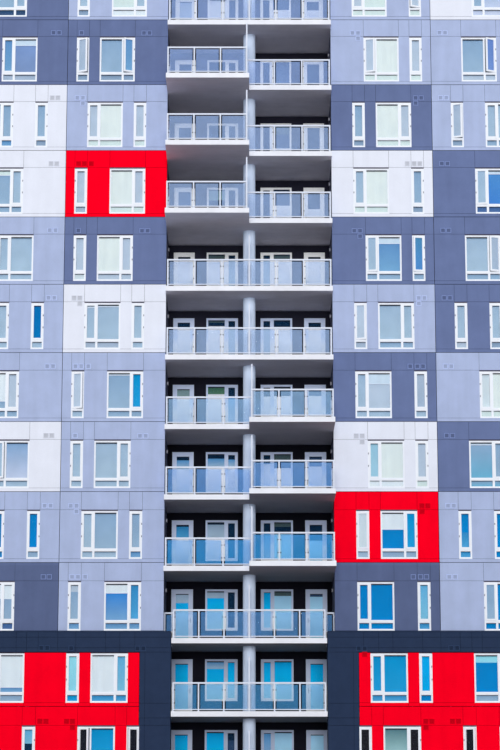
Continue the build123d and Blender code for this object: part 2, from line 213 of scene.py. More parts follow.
class Paint(Nodes):
    """A material. Its places are the object's own metres."""

    def __init__(self, name, roughness=0.5, metallic=0.0, gloss=0.5):
        self.material = bpy.data.materials.new(name)
        self.material.use_nodes = True
        super().__init__(self.material.node_tree)
        self.shader = self.tree.nodes["Principled BSDF"]
        self.set("Roughness", roughness)
        self.set("Metallic", metallic)
        self.set("Specular IOR Level", gloss)
        self.place = self.node("ShaderNodeTexCoord").outputs["Object"]

    def set(self, name, value):
        self.give(self.shader.inputs[name], value)

    def axis(self, vector, letter):
        return self.node("ShaderNodeSeparateXYZ", Vector=vector).outputs[letter]

    def noise(self, scale, detail=4.0, roughness=0.55, stretch=None):
        """Noise, finer with scale. stretch squeezes each axis."""
        made = self.node("ShaderNodeTexNoise", Scale=scale, Detail=detail, Roughness=roughness)
        source = self.place
        if stretch:
            source = self.node("ShaderNodeMapping", Vector=source, Scale=stretch).outputs["Vector"]
        self.link(source, made.inputs["Vector"])
        return made.outputs["Fac"]

    def ramp(self, value, stops):
        """Colours along a value, as (position, colour) stops."""
        ramp = self.node("ShaderNodeValToRGB", Fac=value)
        band = ramp.color_ramp
        for element, (position, colour) in zip(band.elements, (stops[0], stops[-1])):
            element.position = position
            element.color = colour
        for position, colour in stops[1:-1]:
            band.elements.new(position).color = colour
        return ramp.outputs["Color"]

    def greys(self, value, low, high, start=0.3, stop=0.7):
        """A grey factor between two numbers along a value."""
        return self.ramp(value, ((start, grey(low)), (stop, grey(high))))

    def cloud(self, low, high, scale, detail=4.0, roughness=0.55, stretch=None):
        """Noise as grey factors between two numbers."""
        return self.greys(self.noise(scale, detail, roughness, stretch), low, high)

    def by_height(self, stops):
        """Colours along the height, as (metres, colour) pairs."""
        height = self.reckon("DIVIDE", self.axis(self.place, "Z"), HEIGHT_SCALE)
        return self.ramp(height, [(z / HEIGHT_SCALE, colour) for z, colour in stops])

    def toned_by_height(self, colour, steps):
        """A colour times the factor of each height, as (metres, factor) steps, if there are any."""
        if not steps:
            return colour
        return self.by_height([(z, scaled(colour, factor)) for z, factor in steps])

    def mix(self, factor, first, second, blend="MIX"):
        node = self.node("ShaderNodeMix")
        node.data_type = "RGBA"
        node.blend_type = blend
        for name, value in (("Factor", factor), ("A", first), ("B", second)):
            self.give(next(s for s in node.inputs if s.name == name and s.enabled), value)
        return next(s for s in node.outputs if s.enabled)

    def times(self, colour, *factors):
        for factor in factors:
            colour = self.mix(1.0, colour, factor, "MULTIPLY")
        return colour

    def colour(self, value, *factors):
        """The paint's colour, a value or an output times any factors."""
        self.set("Base Color", self.times(value, *factors))

    def bump(self, height, depth, strength=0.5):
        bumps = self.node("ShaderNodeBump", Strength=strength, Distance=depth, Height=height)
        self.set("Normal", bumps.outputs["Normal"])


def stucco(name, colour, patches=0.07, grain=0.05, streaks=0.04, gloss=0.1, steps=None):
    """Painted render: uneven at the size of a trowel's sweep, grainy close up, washed by rain."""
    paint = Paint(name, roughness=0.82, gloss=gloss)
    sweep = paint.cloud(1 - patches, 1 + patches, 1.3, 6, 0.6)
    wash = paint.cloud(1 - streaks, 1 + streaks, 3.0, 3, 0.5, (1.0, 1.0, 0.12))
    sand = paint.cloud(1 - grain, 1 + grain, 60, 3, 0.7)
    paint.colour(paint.toned_by_height(colour, steps), sweep, wash, sand)
    paint.bump(paint.noise(150, 2, 0.6), 0.002, 0.35)
    return paint.material


def smooth_paint(name, colour, roughness=0.35, dirt=0.05, gloss=0.3, steps=None):
    """Factory paint or plastic, with a little dust in broad patches."""
    paint = Paint(name, roughness, gloss=gloss)
    paint.colour(paint.toned_by_height(colour, steps), paint.cloud(1 - dirt, 1.0, 2.5, 5, 0.6))
    paint.set("Roughness", paint.cloud(roughness - 0.06, roughness + 0.1, 9, 3))
    return paint.material


def concrete(name, colour, patches=0.15):
    """Bare concrete with cloudy patches and small pores."""
    paint = Paint(name, roughness=0.9, gloss=0.1)
    pores = paint.greys(paint.noise(90, 2, 0.5), 0.7, 1.0, 0.28, 0.42)
    paint.colour(colour, paint.cloud(1 - patches, 1 + patches, 1.1, 8, 0.65), pores)
    paint.bump(paint.noise(70, 3, 0.6), 0.003, 0.4)
    return paint.material


def slab_paint(name, edge, under, top):
    """White on the edges, grey under the slab as painted shade, and bare on top, each by the way
    that it faces.

    The undersides' painted shade grows paler with each storey, as (height, grey) pairs.
    """
    paint = Paint(name, roughness=0.75, gloss=0.15)
    normal = paint.node("ShaderNodeNewGeometry").outputs["Normal"]
    facing = paint.reckon("MULTIPLY_ADD", paint.axis(normal, "Z"), 0.5, 0.5)
    underside = paint.by_height([(z, (tone, 0.95 * tone, 1.05 * tone, 1.0)) for z, tone in under])
    downwards = paint.greys(facing, 1.0, 0.0, 0.2, 0.25)
    faces = paint.mix(downwards, paint.ramp(facing, ((0.75, edge), (0.8, top))), underside)
    boards = paint.cloud(0.97, 1.02, 4.0, 2, 0.5, (0.15, 1.0, 1.0))
    paint.colour(faces, paint.cloud(0.93, 1.05, 1.4, 7, 0.6), boards)
    paint.bump(paint.noise(80, 3, 0.6), 0.002, 0.3)
    return paint.material


def behind_glass(name, top, bottom):
    """What a pane shows, painted reflections of the sky and painted shade of the room, from its top
    colour to its bottom one along the pane's own height.
    """
    paint = Paint(name, gloss=0.0)
    pane = paint.node("ShaderNodeUVMap")
    pane.uv_map = "pane"
    shade = paint.ramp(paint.axis(pane.outputs["UV"], "Y"), ((0.05, bottom), (0.95, top)))
    paint.colour(shade, paint.cloud(0.95, 1.05, 1.7, 3, 0.5))
    return paint.material


def blind_cloth(name, colour):
    """Roller blind cloth with a fine weave and faint hanging folds."""
    paint = Paint(name, roughness=0.7)
    fold = paint.cloud(0.95, 1.02, 3.0, 2, 0.5, (2.0, 2.0, 0.2))
    paint.colour(colour, fold, paint.cloud(0.97, 1.02, 160, 1, 0.5))
    return paint.material


def window_pane(name, colour):
    """Glass that is seen through, with a tint and a little dust. A blue tint is a faint painted
    reflection of the sky.
    """
    paint = Paint(name, 0.02, gloss=0.1)
    paint.set("IOR", 1.5)
    paint.set("Alpha", paint.cloud(0.04, 0.06, 1.9, 4, 0.6))
    paint.colour(colour, paint.cloud(0.94, 1.04, 2.3, 3, 0.5))
    return paint.material


def sky_reflecting_glass(name, sky_tints, sky_shares):
    """Rail glass, whose painted reflection of the sky changes in colour and share with height."""
    paint = Paint(name, 0.05, gloss=0.15)
    paint.colour(paint.by_height(sky_tints), paint.cloud(0.92, 1.04, 2.3, 3, 0.5))
    sky_share = paint.by_height([(z, grey(share)) for z, share in sky_shares])
    paint.set("Alpha", paint.times(sky_share, paint.cloud(0.92, 1.0, 1.9, 4, 0.6)))
    return paint.material


def brushed_metal(name):
    paint = Paint(name, 0.32, 1.0)
    paint.colour(paint.cloud(0.45, 0.62, 40, 2, 0.5, (1, 1, 12)))
    return paint.material


WHITE = linear(226, 230, 243)
LIGHT = linear(169, 182, 216)
SLATE = linear(103, 117, 158)
RED = linear(255, 0, 33)
NAVY = linear(41, 55, 82)
COLOURS = {"white": WHITE, "light": LIGHT, "slate": SLATE, "red": RED, "navy": NAVY}

# Factors of a paint's colour by height in metres, painted shade and light
# The slate is painted darker on the fourth storey and a little darker near the top, as painted shade
SLATE_STEPS = ((12.7, 0.74), (12.9, 1.0), (30, 1.0), (31.6, 0.93))
# The recess's back wall is painted darker up to about 18 m and lighter from about 23 m, as painted
# shade and light
CHARCOAL_STEPS = ((6, 0.45), (18, 0.4), (23, 1.1), (34, 1.1))
# The recess's frames are painted brightest low down, beside the balcony floor, and all over high up, as
# painted light, and darker between on the lower storeys, as painted shade
BRIGHT = 1.5
UPPER_TONES = {2: 0.75, 3: 0.75, 4: 0.8, 5: 0.9, 6: 1.0, 7: 1.0, 8: 1.0}
DOOR_STEPS = [
    (level(storey) + height, tone)
    for storey, upper in UPPER_TONES.items()
    for height, tone in ((1.1, BRIGHT), (1.5, upper), (2.45, upper), (2.6, BRIGHT))
]
# Greys, and the rail glass's colours, by height in metres. The undersides' greys are painted shade,
# paler higher up
SOFFIT_SHADES = ((6, 0.22), (9.5, 0.26), (12, 0.28), (15.4, 0.36), (18, 0.43), (21, 0.6), (24, 0.76))
# The rail glass's colours and shares by height are a painted reflection of the sky
RAIL_SKY_TINTS = (
    (8.5, (0.11, 0.5, 1, 1)),
    (10.4, (0.18, 0.48, 1, 1)),
    (13, (0.05, 0.45, 1, 1)),
    (16, (0.21, 0.48, 1, 1)),
    (19, (0.39, 0.66, 1, 1)),
    (21, (0.45, 0.65, 1, 1)),
    (30.6, (0.44, 0.62, 1, 1)),
    (32.5, (0.38, 0.56, 1, 1)),
)
RAIL_SKY_SHARES = ((8.5, 0.2), (10.4, 0.22), (13, 0.33), (16, 0.33), (19, 0.31), (21, 0.31))

paints = {
    "white": stucco("render_white", WHITE, 0.025, 0.04, 0.02),
    "light": stucco("render_light", LIGHT, 0.05),
    "slate": stucco("render_slate", SLATE, 0.06, steps=SLATE_STEPS),
    "red": stucco("render_red", RED, 0.05, gloss=0.02),
    "navy": smooth_paint("panel_navy", NAVY, 0.6, 0.12, 0.1),
}
joints = {name: stucco(f"joint_{name}", scaled(colour, 0.3)) for name, colour in COLOURS.items()}
# A dark strip over each window head, painted shadow under the board above
head_shadow = smooth_paint("head_shadow_strip", linear(74, 72, 92), 0.6, 0.1)
frame_white = smooth_paint("frame_white", linear(238, 242, 250), 0.4, 0.04)
door_white = smooth_paint("door_lilac", linear(212, 225, 252), 0.45, 0.05, steps=DOOR_STEPS)
rail_white = smooth_paint("rail_white", linear(220, 227, 243), 0.35, 0.05)
# Dark rubber for the rail clips, and for the dark strips over the panes, which are painted shadow
clip_and_shade = smooth_paint("clip_and_shade_dark", linear(38, 40, 52), 0.6, 0.2)
hinge_grey = smooth_paint("hinge_grey", linear(110, 112, 130), 0.4, 0.1)
steel = brushed_metal("brushed_steel")
lamp_glass = smooth_paint("lamp_glass", linear(176, 176, 186), 0.25, 0.03)
slab_coat = slab_paint("balcony_slab", linear(234, 236, 245), SOFFIT_SHADES, linear(150, 152, 162))
column_coat = stucco("column_paint", linear(217, 232, 255), 0.04, 0.03, 0.03)
charcoal = stucco(
    "recess_charcoal", linear(38, 38, 50), 0.12, 0.08, 0.05, steps=CHARCOAL_STEPS
)
# The recess's side walls are painted a dark grey-blue, as painted shade
recess_side = stucco("recess_side", linear(86, 88, 108), 0.08, 0.05, 0.05)
floor_concrete = concrete("floor_concrete", linear(150, 151, 156))
membrane = concrete("roof_membrane", linear(120, 122, 128), 0.1)
coping_metal = smooth_paint("coping_metal", linear(190, 194, 206), 0.4, 0.1)
# The usual panes' faint blue is a painted reflection of the sky
window_glass = window_pane("window_glass", linear(60, 150, 225))
clear_glass = window_pane("window_glass_clear", linear(98, 108, 128))
rail_glass = sky_reflecting_glass("rail_glass", RAIL_SKY_TINTS, RAIL_SKY_SHARES)

# What the panes show, as (top, bottom) colours: rooms and the sky in them. The blues are painted
# reflections of the sky, and the dark rooms painted shade
ROOMS = {
    "dark": (10, 10, 16, 16, 16, 24),
    "black": (20, 14, 16, 24, 18, 20),
    "dim": (50, 64, 92, 62, 78, 108),
    "dusk": (72, 98, 148, 84, 112, 160),
    "grey": (140, 160, 182, 152, 172, 192),
    "lilac": (178, 192, 208, 176, 192, 208),
    "violet": (112, 140, 202, 120, 148, 204),
    "mist": (190, 204, 218, 194, 208, 220),
    "mint": (168, 212, 226, 170, 212, 226),
    "pale": (168, 191, 210, 176, 199, 214),
    "haze": (148, 176, 202, 160, 186, 206),
    "steel": (104, 150, 196, 124, 172, 208),
    "sky": (16, 128, 208, 92, 162, 224),
    "bright": (0, 130, 197, 0, 138, 208),
    "vivid": (0, 188, 254, 0, 200, 254),
    "blue": (84, 144, 206, 74, 134, 208),
    "cyan": (58, 146, 200, 84, 170, 216),
    "azure": (104, 172, 226, 176, 204, 222),
    "olive": (78, 88, 74, 86, 98, 82),
    "grass": (74, 118, 66, 92, 132, 84),
    "sage": (138, 164, 160, 146, 170, 164),
    "moss": (98, 134, 132, 184, 224, 222),
    "frost": (204, 213, 234, 214, 222, 240),
    "tide": (148, 178, 204, 116, 182, 208),
    "rime": (216, 228, 230, 222, 234, 234),
    "deep": (0, 112, 178, 0, 118, 182),
    "dawn": (142, 174, 208, 202, 212, 232),
    "iris": (130, 154, 200, 132, 152, 190),
    "sea": (82, 143, 182, 86, 142, 200),
    "sheen": (60, 138, 214, 124, 170, 210),
    "aqua": (2, 150, 206, 34, 164, 218),
    "lagoon": (0, 181, 244, 0, 179, 237),
    "surf": (108, 184, 222, 134, 200, 224),
    "teal": (158, 230, 238, 156, 228, 240),
    "ice": (176, 226, 252, 188, 240, 255),
    "sheer": (255, 255, 255, 250, 252, 255),
}
CLOTHS = {
    # veil is the blind cloth painted darker and bluer, as painted shade
    "veil": (212, 229, 240),
    "blind": (236, 245, 246),
    "milk": (236, 245, 237),
    "green": (222, 238, 230),
}
THROUGH_GLASS = 1.02
TINTS = {}
for name, colours in ROOMS.items():
    top, bottom = (scaled(linear(*c), THROUGH_GLASS) for c in (colours[:3], colours[3:]))
    TINTS[name] = behind_glass(f"pane_{name}", top, bottom)
for name, colour in CLOTHS.items():
    TINTS[name] = blind_cloth(f"blind_{name}", scaled(linear(*colour), THROUGH_GLASS))
TINT_NAMES = list(TINTS)
DARK = TINT_NAMES.index("dark")


# Meshes


def add(name, data):
    """An object in the scene."""
    made = bpy.data.objects.new(name, data)
    bpy.context.scene.collection.objects.link(made)
    return made


class Shape:
    """Closed blocks gathered into one mesh, each with the number of its material."""

    def __init__(self):
        self.points = []
        self.faces = []
        self.kinds = []
        self.panes = []

    def block(self, place, low, high, kind=0):
        """A block between two corners (u, w, z), which place turns into X, Y and Z."""
        first = len(self.points)
        for u, w, z in ((a, b, c) for a in (0, 1) for b in (0, 1) for c in (0, 1)):
            ends = (low, high)
            self.points.append(place(ends[u][0], ends[w][1], ends[z][2]))
            self.panes.append((u, z))
        for corners in (
            (0, 1, 3, 2), (4, 6, 7, 5), (0, 4, 5, 1), (2, 3, 7, 6), (0, 2, 6, 4), (1, 5, 7, 3),
        ):
            self.faces.append(tuple(first + c for c in corners))
            self.kinds.append(kind)

    def fitting(self, place, rows, u, z, turn=1):
        """Blocks about a point of a wall, as (left, right, low, high, outer, inner, material).

        With turn -1 their left and right change places.
        """
        for left, right, low, high, outer, inner, kind in rows:
            a, b = sorted((u + turn * left, u + turn * right))
            self.block(place, (a, outer, z + low), (b, inner, z + high), kind)

    def ring(self, centre, radius, bottom, top, sides, kind=0):
        """An upright cylinder round a centre (x, y)."""
        first = len(self.points)
        for i in range(sides):
            angle = 2 * math.pi * i / sides
            x = centre[0] + radius * math.cos(angle)
            y = centre[1] + radius * math.sin(angle)
            self.points += [(x, y, bottom), (x, y, top)]
            self.panes += [(0, 0), (0, 0)]
        for i in range(sides):
            a, b = first + 2 * i, first + 2 * ((i + 1) % sides)
            self.faces.append((a, b, b + 1, a + 1))
        self.faces.append(tuple(first + 2 * i for i in range(sides)))
        self.faces.append(tuple(first + 2 * i + 1 for i in range(sides)))
        self.kinds += [kind] * (sides + 2)

    def piece(self, name, materials, slot, stands_for=(), smooth_angle=None):
        """The finished object, riding on the building."""
        mesh = bpy.data.meshes.new(name)
        mesh.from_pydata(self.points, [], self.faces)
        for face, kind in zip(mesh.polygons, self.kinds):
            face.material_index = kind
            face.use_smooth = smooth_angle is not None
        layer = mesh.uv_layers.new(name="pane")
        for loop in mesh.loops:
            layer.data[loop.index].uv = self.panes[loop.vertex_index]
        work = bmesh.new()
        work.from_mesh(mesh)
        bmesh.ops.recalc_face_normals(work, faces=work.faces)
        work.to_mesh(mesh)
        work.free()
        for material in materials:
            mesh.materials.append(material)
        if smooth_angle is not None:
            mesh.set_sharp_from_angle(angle=smooth_angle)
        made = add(name, mesh)
        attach(made, "root")
        if stands_for:
            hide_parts(*stands_for)


def across(y, inwards):
    """A wall across the building. u is X, and w runs inwards from the wall's face."""
    return lambda u, w, z: (u, y + inwards * w, z)


def along(x, inwards):
    """A wall along the building. u is Y, and w runs inwards from the wall's face."""
    return lambda u, w, z: (x + inwards * w, u, z)


def hinged(place, hinge, w0, side, angle):
    """The same wall with an opening light's blocks swung outwards about its upright hinge.

    side is 1 if the light lies at greater u than the hinge, and otherwise -1.
    """
    cosine, sine = math.cos(angle), math.sin(angle)

    def swung(u, w, z):
        reach = (u - hinge) * side
        depth = w - w0
        turned = hinge + side * (reach * cosine + depth * sine)
        return place(turned, w0 + depth * cosine - reach * sine, z)

    return swung


# The frame itself, for what is on no wall
plan = across(0, 1)
front_wall = across(FRONT, 1)
podium_wall = across(PODIUM_FRONT, 1)
rear_wall = across(REAR, -1)
recess_wall = across(BACK, 1)
end_walls = {-1: along(-HALF_WIDTH, 1), 1: along(HALF_WIDTH, -1)}


def wing_wall(storey):
    return podium_wall if storey <= PODIUM_STOREYS else front_wall


# Boards on the walls

BOARD = 0.012
GAP = 0.012
HEAD_LINE = 0.05
# Depth of the dark strip over each window, a painted shadow
HEAD_SHADOW_DEPTH = 0.004
LEAST_BOARD = 0.05
LEAST_HEAD_BOARD = 0.03


def spans(start, stop, cuts):
    """Runs between the cuts from start to stop, a joint apart."""
    inner = sorted(c for c in cuts if start + LEAST_BOARD < c < stop - LEAST_BOARD)
    edges = [start, *inner, stop]
    for i in range(len(edges) - 1):
        left = edges[i] + (GAP / 2 if i else 0)
        right = edges[i + 1] - (GAP / 2 if i < len(edges) - 2 else 0)
        yield left, right


boards = {}


def clad(node, place, edges, storey, windows, extra=(), top=None):
    """A storey's panel between two edges, as boards on a dark backing, with its windows open.

    Over each window a dark strip closes the gap between its frame and the board above, as a painted
    shadow under that board.
    """
    shape = boards.setdefault(node, Shape())
    u0, u1 = edges
    z0, z1 = panel_bottom(storey), top or panel_top(storey)
    sill = level(storey) + SILL
    head = sill + WINDOW_HEIGHT
    line = min(head + HEAD_LINE, z1)
    openings = sorted((c - width / 2, c + width / 2) for width, c, _ in windows if u0 < c < u1)
    sides = [edge for opening in openings for edge in opening]
    cuts = [*sides, *extra]
    gaps = [u0, *sides, u1]
    piers = [(gaps[i], gaps[i + 1]) for i in range(0, len(gaps), 2) if gaps[i + 1] > gaps[i]]
    # Backing
    shape.block(place, (u0, BOARD, z0), (u1, WALL, sill), 1)
    shape.block(place, (u0, BOARD, head), (u1, WALL, z1), 1)
    for left, right in piers:
        shape.block(place, (left, BOARD, sill), (right, WALL, head), 1)
    # Over each window, a dark strip as painted shadow under the board above
    for left, right in openings:
        shape.block(place, (left, BOARD - HEAD_SHADOW_DEPTH, head), (right, BOARD, line), 2)
    # Boards under the sills, between the windows and over the heads
    for left, right in spans(u0, u1, cuts if storey <= PODIUM_STOREYS else extra):
        shape.block(place, (left, 0, z0), (right, BOARD, sill - GAP / 2))
    for pier in piers:
        for left, right in spans(*pier, extra):
            shape.block(place, (left, 0, sill + GAP / 2), (right, BOARD, line - GAP / 2))
    if z1 > line + LEAST_HEAD_BOARD:
        for left, right in spans(u0, u1, cuts):
            shape.block(place, (left, 0, line + GAP / 2), (right, BOARD, z1))


def front_windows(storey, side):
    """Width, centre and hinge side along +X of the windows of a half front."""
    rows = zip(PATTERNS[pattern(storey)], HINGES[pattern(storey)])
    return [(width, side * (BAY_JOINT + out), -side * hinge) for (width, out), hinge in rows]


INNER_BAY = (RECESS_HALF, BAY_JOINT - JOINT / 2)
WING_BAY = (BAY_JOINT + JOINT / 2, HALF_WIDTH)
BAYS = ((-1, WING_BAY), (-1, INNER_BAY), (1, INNER_BAY), (1, WING_BAY))
for storey in PAINTS:
    for paint, (side, bay) in zip(PAINTS[storey], BAYS):
        windows = front_windows(storey, side)
        clad(f"front_panels_{paint}", front_wall, mirrored(side, *bay), storey, windows)

END_CUTS = (-2.0, 2.2)


def end_windows(storey):
    near, far = END_WINDOWS[pattern(storey)]
    return ((WIDE, FRONT + near, 1), (NARROW, FRONT + far, -1))


for storey in ALL_STOREYS:
    low = storey <= PODIUM_STOREYS
    edges = ((PODIUM_FRONT if low else FRONT) + WALL + JOINT, REAR - WALL - JOINT)
    for side in SIDES:
        paint = "" if low else PAINTS[storey][-1 if side > 0 else 0]
        node = "podium_end_panels" if low else f"end_panels_{paint}"
        clad(node, end_walls[side], edges, storey, end_windows(storey), END_CUTS)


def rear_bays(storey):
    """Node, left and right edge of the rear's five bays. Above the podium none is red."""
    if storey <= PODIUM_STOREYS:
        names = ["podium_rear_panels"] * 5
    else:
        left_wing, left_inner, right_inner, right_wing = PAINTS[storey]
        bays = (left_wing, left_inner, "white", right_inner, right_wing)
        names = ["rear_panels_" + ("light" if bay == "red" else bay) for bay in bays]
    half = JOINT / 2
    inner = (-BAY_JOINT, -RECESS_HALF, RECESS_HALF, BAY_JOINT)
    edges = (-HALF_WIDTH - half, *inner, HALF_WIDTH + half)
    return [(names[i], (edges[i] + half, edges[i + 1] - half)) for i in range(5)]


rear_windows = [(WIDE, side * x, side) for side in SIDES for x in REAR_WINDOWS]
for storey in ALL_STOREYS:
    for node, edges in rear_bays(storey):
        clad(node, rear_wall, edges, storey, rear_windows)

# The podium's red panels, with a joint between the sills and the heads below
PODIUM_NEAR = PIER_FACE + PIER_WIDTH + JOINT
for storey in range(1, PODIUM_STOREYS + 1):
    top = min(panel_top(storey), BAND_BOTTOM - JOINT)
    for side in SIDES:
        edges, windows = mirrored(side, PODIUM_NEAR, HALF_WIDTH), front_windows(storey, side)
        clad("podium_panels_red", podium_wall, edges, storey, windows, top=top)

for node, shape in boards.items():
    ending = node.rsplit("_", 1)[1]
    key = "navy" if ending == "panels" else ending
    coats = [paints[key], joints[key], head_shadow]
    shape.piece(node.replace("panels", "boards"), coats, f"{key}_paint", [node])

# The podium's navy frame: band and pier, in boards with joints that line up
podium = Shape()
BAND_CUTS = (4.42, 5.0, 5.55, 6.7, 7.4, 8.15, 8.6, 9.0, 10.4, 11.6)
BAND_ROWS = (0.168, 0.576)
CAP = 0.03
CAP_PROUD = 0.02
PIER_CUT = 4.02
# Joints of the pier below and above each floor, and over the window heads
PIER_LINES = (-0.237, 0.32, SILL + WINDOW_HEIGHT + HEAD_LINE)


def podium_boards(heights, edges, cuts):
    """Rows of boards between each two heights."""
    for bottom, top in zip(heights, heights[1:]):
        for left, right in spans(*edges, cuts):
            podium.block(podium_wall, (left, 0, bottom + GAP / 2), (right, BOARD, top - GAP / 2))


for side in SIDES:
    left, right = outer = mirrored(side, PIER_FACE, HALF_WIDTH)
    pier = mirrored(side, PIER_FACE, PIER_FACE + PIER_WIDTH)
    cap = PODIUM_TOP - CAP
    podium.block(podium_wall, (left, BOARD, BAND_BOTTOM), (right, WALL, PODIUM_TOP), 1)
    podium.block(podium_wall, (pier[0], BOARD, 0), (pier[1], WALL, BAND_BOTTOM), 1)
    podium.block(podium_wall, (left, -CAP_PROUD, cap), (right, WALL, PODIUM_TOP))
    rows = [BAND_BOTTOM, *(BAND_BOTTOM + row for row in BAND_ROWS), cap]
    podium_boards(rows, outer, [side * cut for cut in BAND_CUTS])
    lines = [level(n) + up for n in range(1, PODIUM_STOREYS + 1) for up in PIER_LINES]
    lines = [0.0, *sorted(z for z in lines if 0 <= z < BAND_BOTTOM), BAND_BOTTOM]
    podium_boards(lines, pier, [side * PIER_CUT])
podium.piece(
    "podium_frame_boards", [paints["navy"], joints["navy"]], "navy_paint", ["podium_frame"]
)


# Windows

FRAME = 0.045
FRAME_FACE = 0.012
FRAME_BACK = 0.1
BEAD = 0.02
BEAD_FACE = 0.03
PANE_FACE = 0.05
PANE_BACK = 0.056
SASH = 0.065
SASH_FACE = 0.004
SASH_BACK = 0.062
LOW_LIGHT = 0.31
TRANSOM = 0.08
CASEMENT = 0.423
MULLION = 0.05
# Heights and depth of the dark strip under the member over a pane, a painted shadow
PANE_SHADOW = 0.042
LOW_PANE_SHADOW = 0.02
SASH_PANE_SHADOW = 0.02
PANE_SHADOW_DEPTH = 0.006
# What shows behind a pane: a sheet of blind or room, and the bar at the foot of a blind
BLIND_FACE = 0.07
ROOM_FACE = 0.09
SHEET = 0.008
BLIND_BAR = 0.02
BLIND_GAP = 0.004
# What shows in the glass of an open light, and the dark room behind that light, a dark sheet that is
# painted shade
OPEN_FACE = 0.058
OPEN_BACK = 0.061
DARK_BACK = 0.1
HINGE = ((-0.014, 0.014, -0.035, 0.035, 0.002, FRAME_FACE, 2),)
HINGE_OUT = 0.022
HINGE_SHARES = (0.34, 0.68)
DRIP_DROP = 0.004
DRIP_TOP = 0.02


def bands(look):
    """What a pane shows from the top down, as (tint, share), from such words as blind20 haze."""
    made = []
    left = 1.0
    for word in look.split():
        name = word.rstrip("0123456789")
        share = float(word[len(name):]) / 100 if word != name else left
        made.append((name, share))
        left -= share
    return made


def state(look):
    """Looks of the opening light, main pane and low panes, and the light's swing in degrees.

    They are written light|main|low|swing. No main is the light's look, and no low is the main
    pane's last band.
    """
    light, main, low, swing = (look.split("|") + [""] * 3)[:4]
    main = main or light
    return light, main, low or bands(main)[-1][0], float(swing or 0)


def post_beside(light, width, left, right, at_left):
    """Edges of the upright member between an opening light and the pane beside it."""
    if at_left:
        return left + light, left + light + width
    return right - light - width, right - light


